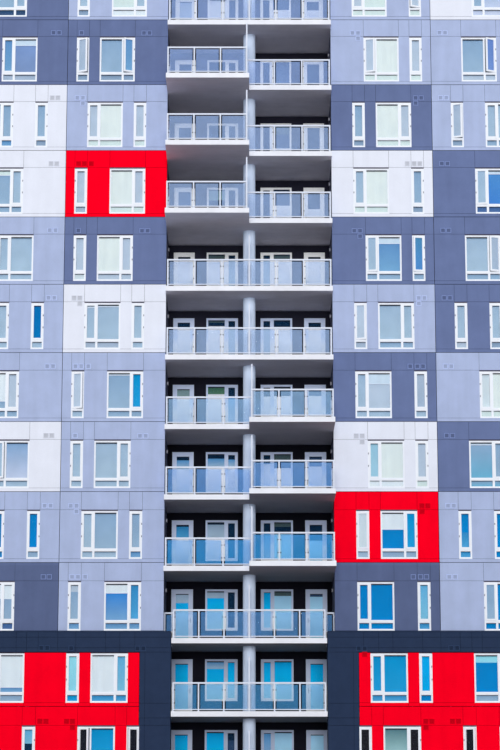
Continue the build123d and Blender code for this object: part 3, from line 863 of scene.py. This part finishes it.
class Windows:
    """Framed windows in three meshes, in the wall that place gives."""

    def __init__(self, place=None):
        self.place = place
        self.frames = Shape()
        self.glass = Shape()
        self.rooms = Shape()

    def bar(self, u0, z0, u1, z1, w0, w1, kind=0):
        """A member of a frame."""
        self.frames.block(self.place, (u0, w0, z0), (u1, w1, z1), kind)

    def frame(self, u0, z0, u1, z1, width, w0, w1):
        """Four members round a rectangle, inside it."""
        a, b = u0 + width, u1 - width
        self.bar(u0, z0, a, z1, w0, w1)
        self.bar(b, z0, u1, z1, w0, w1)
        self.bar(a, z0, b, z0 + width, w0, w1)
        self.bar(a, z1 - width, b, z1, w0, w1)

    def pane(self, u0, z0, u1, z1, look, pane_shadow_height=PANE_SHADOW):
        """Glass in a rectangle, and behind it what shows, in bands from the top down."""
        black = int(look == "black")
        self.glass.block(self.place, (u0, PANE_FACE, z0), (u1, PANE_BACK, z1), black)
        # A dark strip under the member over the glass: painted shadow
        self.bar(u0, z1 - pane_shadow_height, u1, z1, PANE_FACE - PANE_SHADOW_DEPTH, PANE_FACE, 1)
        top = z1
        for tint, share in bands(look):
            bottom = max(z0, top - share * (z1 - z0))
            hung = tint in CLOTHS
            face = BLIND_FACE if hung else ROOM_FACE
            kind = TINT_NAMES.index(tint)
            self.rooms.block(self.place, (u0, face, bottom), (u1, face + SHEET, top), kind)
            if hung and bottom > z0:
                self.bar(u0, bottom - BLIND_BAR, u1, bottom, face - SHEET, face)
                # The gap under the blind's bar shows the room right up to the blind
                gap = (u1, ROOM_FACE, bottom + BLIND_GAP)
                self.rooms.block(self.place, (u0, face + SHEET, bottom), gap, kind)
            top = bottom

    def fixed(self, u0, z0, u1, z1, look, pane_shadow_height=PANE_SHADOW):
        """A pane held by beads."""
        self.frame(u0, z0, u1, z1, BEAD, BEAD_FACE, PANE_BACK)
        self.pane(u0 + BEAD, z0 + BEAD, u1 - BEAD, z1 - BEAD, look, pane_shadow_height)

    def casement(self, u0, z0, u1, z1, hinge, look, swing):
        """An opening light in its sash. hinge is the side of its hinge along u."""
        edge = u0 if hinge < 0 else u1
        place = turned = self.place
        if swing:
            turned = hinged(place, edge, FRAME_FACE, -hinge, math.radians(swing))
        self.place = turned
        self.frame(u0, z0, u1, z1, SASH, SASH_FACE, SASH_BACK)
        self.place = place
        left, right, bottom, top = u0 + SASH, u1 - SASH, z0 + SASH, z1 - SASH
        if swing:
            clear = look == "clear"
            corners = (left, PANE_FACE, bottom), (right, PANE_BACK, top)
            self.glass.block(turned, *corners, int(clear))
            if not clear:
                room = TINT_NAMES.index(bands(look)[-1][0])
                self.rooms.block(turned, (left, OPEN_FACE, bottom), (right, OPEN_BACK, top), room)
            # The room behind the open light: a dark sheet as painted shade
            self.rooms.block(place, (u0, ROOM_FACE, z0), (u1, DARK_BACK, z1), DARK)
        else:
            self.pane(left, bottom, right, top, look, SASH_PANE_SHADOW)
        # Hinges on the frame
        for share in HINGE_SHARES:
            height = z0 + share * (z1 - z0)
            self.frames.fitting(place, HINGE, edge + hinge * HINGE_OUT, height)

    def window(self, storey, width, centre, hinge, look):
        """A storey's window. hinge is the side along u of its opening light."""
        light, main, low, swing = state(look)
        u0, u1 = centre - width / 2, centre + width / 2
        z0 = level(storey) + SILL
        z1 = z0 + WINDOW_HEIGHT
        self.frame(u0, z0, u1, z1, FRAME, FRAME_FACE, FRAME_BACK)
        # A thin drip sill under the frame
        self.bar(u0, z0 - DRIP_DROP, u1, z0 + DRIP_TOP, 0.0, FRAME_FACE)
        bottom, top = z0 + LOW_LIGHT, z0 + LOW_LIGHT + TRANSOM
        left, right = u0 + FRAME, u1 - FRAME
        foot, head = z0 + FRAME, z1 - FRAME
        self.bar(left, bottom, right, top, FRAME_FACE, FRAME_BACK)
        if width == NARROW:
            fields = [(left, right, True)]
        else:
            a, b = post_beside(CASEMENT, MULLION, left, right, hinge < 0)
            self.bar(a, foot, b, bottom, FRAME_FACE, FRAME_BACK)
            self.bar(a, top, b, head, FRAME_FACE, FRAME_BACK)
            fields = [(left, a, hinge < 0), (b, right, hinge > 0)]
        for a, b, opens in fields:
            self.fixed(a, foot, b, bottom, low, LOW_PANE_SHADOW)
            if opens:
                self.casement(a, top, b, head, hinge, light, swing)
            else:
                self.fixed(a, top, b, head, main)

    def finish(self, name, node, coat=frame_white):
        coats = [coat, clip_and_shade, hinge_grey]
        self.frames.piece(f"{name}_frames", coats, "window_frame", [node])
        self.glass.piece(f"{name}_panes", [window_glass, clear_glass], "glass")
        self.rooms.piece(f"{name}_blinds_and_painted_sky_and_shade", list(TINTS.values()), None)


# The front's windows by storey, left half then right half, in the order of the patterns. Their blues
# are painted reflections of the sky
FRONT_LOOKS = {
    13: (
        "pale||grey, pale|green|blind, haze||dim, haze",
        "mist||green|20, mist|green, haze|dawn|frost, haze",
    ),
    12: (
        "lilac||grey|22, steel|haze|grey|22, steel|veil18 iris|lilac, haze",
        "mist||green, mist|milk|green|18, violet|haze|mist|24, haze",
    ),
    11: (
        "mist|milk|green, mist||green, haze||grey, haze|steel",
        "mist|milk|green, haze||grey, lilac||grey|20, pale||haze",
    ),
    10: (
        "mist||lilac, mist|milk|green, pale|green14 haze, haze",
        "haze||grey, pale|milk|green, pale|veil10 blue|dusk|8, haze",
    ),
    9: (
        "mist||rime, mist|milk|mist, pale, haze",
        "sea||haze|10, pale|veil18 steel|haze|10, lilac|pale|haze|18, haze",
    ),
    8: (
        "veil5 pale||lilac, pale, deep||pale, pale|blind20 pale",
        "pale||haze, mist||lilac|10, pale||mist, pale||grey",
    ),
    7: (
        "mist||pale|18, aqua|veil5 haze|haze, mist|blind80 haze, haze",
        "lilac||pale, pale|veil30 mist|pale, rime|milk|green, pale",
    ),
    6: ("pale, pale, pale|dawn|pale|20, haze", "mist||green, mint|milk|blind, haze|veil6 tide, haze"),
    5: (
        "pale|haze|pale, haze||steel, bright||haze, bright|veil20 bright",
        "aqua|blind46 bright|haze|5, rime||pale|7, bright55 cyan||cyan, bright|mint30 bright",
    ),
    4: (
        "mist20 haze||steel, cyan|blind25 sheen|steel, blind40 haze||dusk, sky",
        "surf||cyan, bright, haze|bright|bright|6, bright",
    ),
    3: (
        "teal||aqua, surf|blind|cyan, bright|blind87 steel|haze, bright",
        "lagoon||bright, aqua||cyan, bright|teal20 bright|haze, bright",
    ),
    2: (
        "clear|aqua|aqua|26, clear||dim|26, surf40 dark||black, bright",
        "black|moss|moss, black, clear||black|24, bright|blind30 bright",
    ),
}
# The usual looks of the ends, the rear and the front's ground storey
LOOKS = (
    "haze", "pale|veil12 pale", "mist|blind|green", "pale|blind30 haze", "mint|green",
    "haze|veil15 pale",
)
LOW_LOOKS = ("bright", "cyan|blind25 sky", "cyan|blind|bright", "haze|veil20 bright")
picker = random.Random(11)
BLUE_STOREYS = 5


def usual_look(storey):
    """One of the usual looks, bluer low down, where more of the sky's painted reflection shows."""
    return picker.choice(LOW_LOOKS if storey <= BLUE_STOREYS else LOOKS)


def glazed(name, rows):
    """The windows of a wall, from rows of place, storey, windows and their looks, if known."""
    made = Windows()
    for place, storey, windows, looks in rows:
        made.place = place
        for index, window in enumerate(windows):
            made.window(storey, *window, looks[index] if looks else usual_look(storey))
    made.finish(f"{name}_window", f"{name}_window_glass")


def front_looks(storey, side):
    return FRONT_LOOKS[storey][side > 0].split(", ") if storey in FRONT_LOOKS else None


halves = [(storey, side) for storey in ALL_STOREYS for side in SIDES]
glazed("front", [(wing_wall(n), n, front_windows(n, s), front_looks(n, s)) for n, s in halves])
glazed("end", [(end_walls[side], storey, end_windows(storey), None) for storey, side in halves])
glazed("rear", [(rear_wall, storey, rear_windows, None) for storey in ALL_STOREYS])


# Doors and windows behind the balconies

RECESS_FRAME_BACK = 0.12
DOOR_FRAME = 0.05
LEAF_GAP = 0.03
LEAF_STILE = 0.11
LEAF_FACE = 0.025
LEAF_BACK = 0.075
LEAF_FOOT = 0.1
LEAF_PANEL = 0.3
LEAF_BEAD = 0.02
LEAF_BEAD_FACE = 0.02
LEAF_BEAD_BACK = 0.08
# Height of the dark strip over a door's pane, a painted shadow
LEAF_PANE_SHADOW = 0.03
HANDLE_IN = 0.1
# The plate, the lever and its neck, from the floor
HANDLE = (
    (-0.02, 0.02, 0.95, 1.15, 0.0, 0.03, 0),
    (0.0, 0.12, 1.04, 1.06, -0.03, -0.012, 0),
    (-0.01, 0.01, 1.04, 1.06, -0.03, 0.0, 0),
)
LIGHT_FRAME = 0.055
LIGHT_WIDTH = 0.4
LIGHT_POST = 0.07
LIGHT_FACE = -0.008
LIGHT_BACK = 0.06
# Door, main pane and opening light of the left flat and then the right, from the top down. The dark
# bands at the top are painted reflections of the slab above, and the blues painted reflections of the
# sky
RECESS_LOOKS = {
    13: ("mist, sheer, dark", "dark20 sheer, dim30 sheer, dark"),
    12: ("dark, dark, dark", "dark65 sheer, dim65 sheer, dark"),
    11: ("dark, dark, dark", "dark65 sheer, olive25 dim40 sheer, dark"),
    10: ("dim40 dark, sage30 dark, dark", "dark40 sheer, dim45 sheer, dark"),
    9: ("dark6 sheer, olive14 sheer, dark14 pale", "dark6 sheer, olive14 sheer, dark14 pale"),
    8: ("dark14 sheer, olive6 dark10 sheer, dark16 pale", "dark14 sheer, dark18 sheer, dark18 pale"),
    7: ("sage20 sheer, grass20 sheer, dark24 azure", "dim15 sheer, dark25 sheer, dark25 sheer"),
    6: (
        "dark8 azure20 sheer, dark12 azure25 sheer, dark12 azure20 sheer",
        "dim22 sheer, olive18 dim20 sheer, dark25 sheer",
    ),
    5: ("dark4 cyan27 sheer, dark6 pale39 sheer, dark", "dark35 ice, olive12 dark20 ice, dark25 azure"),
    4: ("pale20 vivid18 ice, pale18 vivid33 ice, dark", "dim6 ice, olive12 ice, vivid51 ice"),
    3: ("vivid42 ice, azure20 vivid38 ice, vivid58 ice", "vivid42 ice, vivid58 ice, vivid58 ice"),
    2: ("vivid42 ice, vivid58 ice, dark20 dim", "ice, ice, azure"),
    1: ("vivid42 ice, azure20 vivid38 ice, vivid58 ice", "azure, vivid58 ice, vivid58 ice"),
}
balcony = Windows(recess_wall)
doors = Windows(recess_wall)
handles = Shape()


def balcony_door(floor, head, side, look):
    """A glazed door in its frame, and its lever beside the stile nearer the column."""
    u0 = side * DOOR_CENTRE - DOOR_WIDTH / 2
    u1 = u0 + DOOR_WIDTH
    doors.frame(u0, floor, u1, head, DOOR_FRAME, 0.0, RECESS_FRAME_BACK)
    leaf = (u0 + DOOR_FRAME, floor + LEAF_GAP, u1 - DOOR_FRAME, head - DOOR_FRAME)
    doors.frame(*leaf, LEAF_STILE, LEAF_FACE, LEAF_BACK)
    left, right = leaf[0] + LEAF_STILE, leaf[2] - LEAF_STILE
    bottom, top = floor + LEAF_PANEL, leaf[3] - LEAF_STILE
    doors.bar(left, leaf[1] + LEAF_FOOT, right, bottom, LEAF_FACE, LEAF_BACK)
    doors.frame(left, bottom, right, top, LEAF_BEAD, LEAF_BEAD_FACE, LEAF_BEAD_BACK)
    left, right, top = left + LEAF_BEAD, right - LEAF_BEAD, top - LEAF_BEAD
    doors.pane(left, bottom, right, top, look, LEAF_PANE_SHADOW)
    u = u0 + HANDLE_IN if side > 0 else u1 - HANDLE_IN
    handles.fitting(recess_wall, HANDLE, u, floor, side)


def balcony_window(floor, head, side, main_look, light_look):
    """A window whose opening light is the one nearer the column."""
    u0 = side * BALCONY_WINDOW_CENTRE - BALCONY_WINDOW_WIDTH / 2
    u1 = u0 + BALCONY_WINDOW_WIDTH
    z0 = floor + BALCONY_SILL
    balcony.frame(u0, z0, u1, head, LIGHT_FRAME, 0.0, RECESS_FRAME_BACK)
    left, right = u0 + LIGHT_FRAME, u1 - LIGHT_FRAME
    bottom, top = z0 + LIGHT_FRAME, head - LIGHT_FRAME
    a, b = post_beside(LIGHT_WIDTH, LIGHT_POST, left, right, side > 0)
    balcony.bar(a, bottom, b, top, 0.0, RECESS_FRAME_BACK)
    for u, v, opens in ((left, a, side > 0), (b, right, side < 0)):
        if not opens:
            balcony.fixed(u, bottom, v, top, main_look)
            continue
        balcony.frame(u, bottom, v, top, SASH, LIGHT_FACE, LIGHT_BACK)
        glass = (u + SASH, bottom + SASH, v - SASH, top - SASH)
        balcony.pane(*glass, light_look, SASH_PANE_SHADOW)


for storey in ALL_STOREYS:
    floor, head = level(storey), ceiling(storey) - LINTEL
    for side in SIDES:
        door_look, main_look, light_look = RECESS_LOOKS[storey][side > 0].split(", ")
        balcony_door(floor, head, side, door_look)
        balcony_window(floor, head, side, main_look, light_look)
doors.finish("balcony_door", "balcony_doors", door_white)
handles.piece("balcony_door_handles", [steel], "rail_metal")
balcony.finish("balcony_window", "balcony_windows", door_white)

# Columns, round and smooth, with a groove at each end
GROOVE = 0.015
GROOVE_RADIUS = COLUMN_RADIUS - 0.008
COLUMN_SIDES = 72
columns = Shape()
for storey in ALL_STOREYS:
    floor, top = level(storey), ceiling(storey)
    for radius, low, high in (
        (GROOVE_RADIUS, floor, floor + GROOVE),
        (COLUMN_RADIUS, floor + GROOVE, top - GROOVE),
        (GROOVE_RADIUS, top - GROOVE, top),
    ):
        columns.ring((0, COLUMN_Y), radius, low, high, COLUMN_SIDES)
columns.piece(
    "round_columns", [column_coat], "white_paint", ["balcony_columns"], math.radians(30)
)

# The parapet, a little back from its metal coping
COPING = 0.05
BODY_BACK = 0.015
parapet = Shape()
roof = level(STOREYS + 1)
top = roof + PARAPET
runs = (
    ((-HALF_WIDTH, FRONT), (HALF_WIDTH, FRONT + WALL)),
    ((-HALF_WIDTH, REAR - WALL), (HALF_WIDTH, REAR)),
    ((-HALF_WIDTH, FRONT + WALL), (-HALF_WIDTH + WALL, REAR - WALL)),
    ((HALF_WIDTH - WALL, FRONT + WALL), (HALF_WIDTH, REAR - WALL)),
)
for (x0, y0), (x1, y1) in runs:
    across_building = x1 - x0 > y1 - y0
    dx, dy = (0.0, BODY_BACK) if across_building else (BODY_BACK, 0.0)
    parapet.block(plan, (x0 + dx, y0 + dy, roof), (x1 - dx, y1 - dy, top - COPING))
    parapet.block(plan, (x0, y0, top - COPING), (x1, y1, top), 1)
parapet.piece("parapet_walls", [paints["white"], coping_metal], "white_paint", ["roof_parapet"])

# Vents over the window heads, painted like their walls: a hood, a rim, a back and slats
VENT = [
    (-0.1, 0.1, 0.174, 0.2, -0.02, 0.0, 0),
    (-0.1, -0.074, 0.0, 0.174, -0.014, 0.0, 0),
    (0.074, 0.1, 0.0, 0.174, -0.014, 0.0, 0),
    (-0.074, 0.074, 0.0, 0.026, -0.014, 0.0, 0),
    (-0.074, 0.074, 0.026, 0.174, -0.003, 0.0, 1),
]
SLAT = 0.012
VENT += [(-0.074, 0.074, z, z + SLAT, -0.01, -0.003, 2) for z in (0.034, 0.072, 0.11, 0.148)]
# Distance outwards from the bay joint, and height over the head joint, by pattern and half
WING_VENTS = ((0.37, 0.055), (0.6, 0.055))
THREE_IN_LINE = ((-0.52, 0.055), (-0.75, 0.055), (-1.03, 0.055))
TWO_AND_ONE = ((-0.42, 0.05), (-0.65, 0.05), (-0.65, -0.175))
VENTS = (
    (THREE_IN_LINE, THREE_IN_LINE),
    (((-0.55, 0.05), (-3.11, 0.04), (-3.34, 0.04)), ((-2.97, -0.19), (-2.97, 0.04), (-3.2, 0.04))),
    (TWO_AND_ONE, TWO_AND_ONE),
)
# Shades of the wall's paint on the rims, the backs and the slats. The backs are painted darker, as
# painted shade inside the vent
VENT_PARTS = ("rim", "back", "slats")
VENT_TONES = {
    "white": (0.86, 0.7, 0.85),
    "light": (1.32, 0.84, 1.0),
    "slate": (1.6, 0.7, 1.0),
    "red": (0.7, 0.5, 0.8),
    "navy": (1.5, 0.6, 1.0),
}
vents = {}
for storey in ALL_STOREYS:
    line = level(storey) + SILL + WINDOW_HEIGHT + HEAD_LINE
    podium_paints = ["navy" if storey == PODIUM_STOREYS else "red"] * 4
    left_wing, left_inner, right_inner, right_wing = PAINTS.get(storey, podium_paints)
    for side, wing, inner in ((-1, left_wing, left_inner), (1, right_wing, right_inner)):
        for paint, rows in ((wing, WING_VENTS), (inner, VENTS[pattern(storey)][side > 0])):
            for out, lift in rows:
                # A vent that hangs below the navy band is on the red
                under = "red" if paint == "navy" and lift < 0 else paint
                shape = vents.setdefault(under, Shape())
                shape.fitting(wing_wall(storey), VENT, side * (BAY_JOINT + out), line + lift)
for paint, shape in vents.items():
    coats = [
        smooth_paint(f"vent_{paint}_{part}", scaled(COLOURS[paint], tone), 0.6, 0.1, 0.05)
        for part, tone in zip(VENT_PARTS, VENT_TONES[paint])
    ]
    shape.piece(f"wall_vents_{paint}", coats, f"{paint}_paint")

# Lamps on the recess's side walls, each a glass between two plates
LAMP = (
    (0.0, 0.08, 0.0, 0.02, -0.06, 0.0, 0),
    (0.0, 0.08, 0.13, 0.15, -0.06, 0.0, 0),
    (0.01, 0.07, 0.02, 0.13, -0.055, 0.0, 1),
)
LAMP_Y = -5.2
LAMP_DROP = 0.55
lamps = Shape()
for storey in ALL_STOREYS[1:]:
    for side in SIDES:
        wall = along(side * RECESS_HALF, side)
        lamps.fitting(wall, LAMP, LAMP_Y, ceiling(storey) - LAMP_DROP)
lamps.piece("wall_lamps", [hinge_grey, lamp_glass], "rail_metal")

# Feet and bolts of the rail posts, the clips that hold the panes, and the caps of the screens
FOOT = ((-0.05, 0.05, 0.0, 0.01, -0.045, 0.045, 0),)
CLIPS = [(POST / 2, POST / 2 + 0.05, z, z + 0.03, -0.01, 0.01, 2) for z in (0.3, 0.8)]
BOLT_X = 0.038
BOLT = (0.01, 0.018)
BOLT_RADIUS = 0.007
BOLT_SIDES = 8
CAP_RADIUS = 0.034
CAP_HEIGHT = 0.03
CAP_SIDES = 20
feet = Shape()
for storey in ALL_STOREYS[1:]:
    floor = level(storey)
    forward = FORWARD_HALF.get(storey, 0)
    screen_x = forward * SCREEN_OFFSET
    end = PIER_FACE - PIER_GAP if storey <= PODIUM_STOREYS + 1 else RECESS_HALF
    for side in SIDES:
        y = (REACH_EDGE if forward == side else SLAB_EDGE) + RAIL_SETBACK + POST / 2
        bay = (end - RAIL_END_MARGIN - screen_x * side) / RAIL_BAYS
        for i in range(RAIL_BAYS):
            x = screen_x + side * bay * (i + 1)
            feet.fitting(across(y, 1), FOOT, x, floor)
            for dx in (-BOLT_X, BOLT_X):
                feet.ring((x + dx, y), BOLT_RADIUS, floor + BOLT[0], floor + BOLT[1], BOLT_SIDES, 1)
            # The last post has no pane beyond it
            for turn in (-side,) if i == RAIL_BAYS - 1 else SIDES:
                feet.fitting(across(y, 1), CLIPS, x, floor, turn)
    y = (REACH_EDGE if forward else SLAB_EDGE) + RAIL_SETBACK + POST / 2
    top = floor + SCREEN_HEIGHT
    feet.ring((screen_x, y), CAP_RADIUS, top, top + CAP_HEIGHT, CAP_SIDES)
feet.piece("rail_feet_and_clips", [rail_white, steel, clip_and_shade], "rail_metal")


# The frame's own nodes


def coat(material, *names):
    for name in names:
        materials = nodes[name].data.materials
        materials.clear()
        materials.append(material)


coat(floor_concrete, *(f"floor_slab_{n:02d}" for n in ALL_STOREYS))
coat(membrane, "roof_slab")
coat(slab_coat, "balcony_slabs")
coat(recess_side, "recess_side_walls")
coat(charcoal, "recess_back_walls")
coat(paints["navy"], "podium_piers")
coat(rail_white, "front_rails", "side_rails", "privacy_screens")
coat(rail_glass, "front_rail_glass", "side_rail_glass")


# Floor, light and camera

NEAR = 300.0
FAR = 3000.0


def stage_floor(name, points, faces, material):
    """A flat part of the floor at ground level."""
    mesh = bpy.data.meshes.new(name)
    mesh.from_pydata([(x, y, 0) for x, y in points], [], faces)
    mesh.materials.append(material)
    made = add(name, mesh)
    return made


def square(half):
    return [(-half, -half), (half, -half), (half, half), (-half, half)]


floor_paint = Paint("studio_floor", 0.9, gloss=0.0)
floor_paint.set("Base Color", (0.8, 0.8, 0.81, 1.0))
# The floor is pale where it is seen, and returns less light to the building than it shows
dull = floor_paint.node("ShaderNodeBsdfDiffuse", Color=(0.25, 0.25, 0.26, 1.0))
light_path = floor_paint.node("ShaderNodeLightPath")
floor_paint.choose(
    light_path.outputs["Is Diffuse Ray"],
    floor_paint.shader.outputs["BSDF"],
    dull.outputs["BSDF"],
    "Material Output",
)
stage_floor("studio_floor", square(NEAR), [(0, 1, 2, 3)], floor_paint.material)
# Beyond it the floor is only seen, so that it shades nothing
ring = [(i, (i + 1) % 4, 4 + (i + 1) % 4, 4 + i) for i in range(4)]
far_floor = stage_floor("far_floor", square(FAR) + square(NEAR), ring, floor_paint.material)
far_floor.visible_diffuse = False
far_floor.visible_glossy = False
far_floor.visible_shadow = False

# The world lights softly, and is white where it is seen, reflected or seen through glass
bpy.context.scene.world = bpy.data.worlds.new("studio")
bpy.context.scene.world.use_nodes = True
sky = Nodes(bpy.context.scene.world.node_tree)
soft = sky.node("ShaderNodeBackground", Color=(0.9, 0.95, 1.0, 1.0), Strength=0.29)
pale = sky.node("ShaderNodeBackground", Color=grey(1.0), Strength=1.0)
light_path = sky.node("ShaderNodeLightPath")
seen = light_path.outputs["Is Camera Ray"]
for name in ("Is Glossy Ray", "Is Transmission Ray"):
    seen = sky.reckon("MAXIMUM", seen, light_path.outputs[name])
sky.choose(seen, soft.outputs["Background"], pale.outputs["Background"], "World Output")

# Soft suns: name, strength, spread and turn. The key is high in front and the rest are level.
SUNS = (
    ("key", 0.35, 40, (50, 0, -14)),
    ("front", 2.1, 20, (86, 0, 0)),
    ("left", 1.1, 60, (70, 0, -90)),
    ("right", 1.1, 60, (70, 0, 90)),
    ("back", 1.6, 40, (60, 0, 180)),
)
for name, strength, spread, turn in SUNS:
    data = bpy.data.lights.new(name, "SUN")
    data.energy = strength
    data.angle = math.radians(spread)
    lamp = add(name, data)
    lamp.rotation_euler = [math.radians(a) for a in turn]
    lamp.visible_glossy = False

# The camera, fitted to the photograph: its focal length is in pixels of the picture's height
SENSOR = 36.0
FOCAL_PIXELS = 2340.53
PICTURE_HEIGHT = 750
EYE = (0.03, -97.825, 0.673)
TILT = 0.21264
camera = bpy.data.cameras.new("camera")
camera.sensor_width = SENSOR
camera.lens = FOCAL_PIXELS / PICTURE_HEIGHT * SENSOR
camera.clip_end = 2 * FAR
eye = add("camera", camera)
eye.location = EYE
eye.rotation_euler = (math.pi / 2 + TILT, 0, 0)
bpy.context.scene.camera = eye
bpy.context.scene.view_settings.view_transform = "Standard"
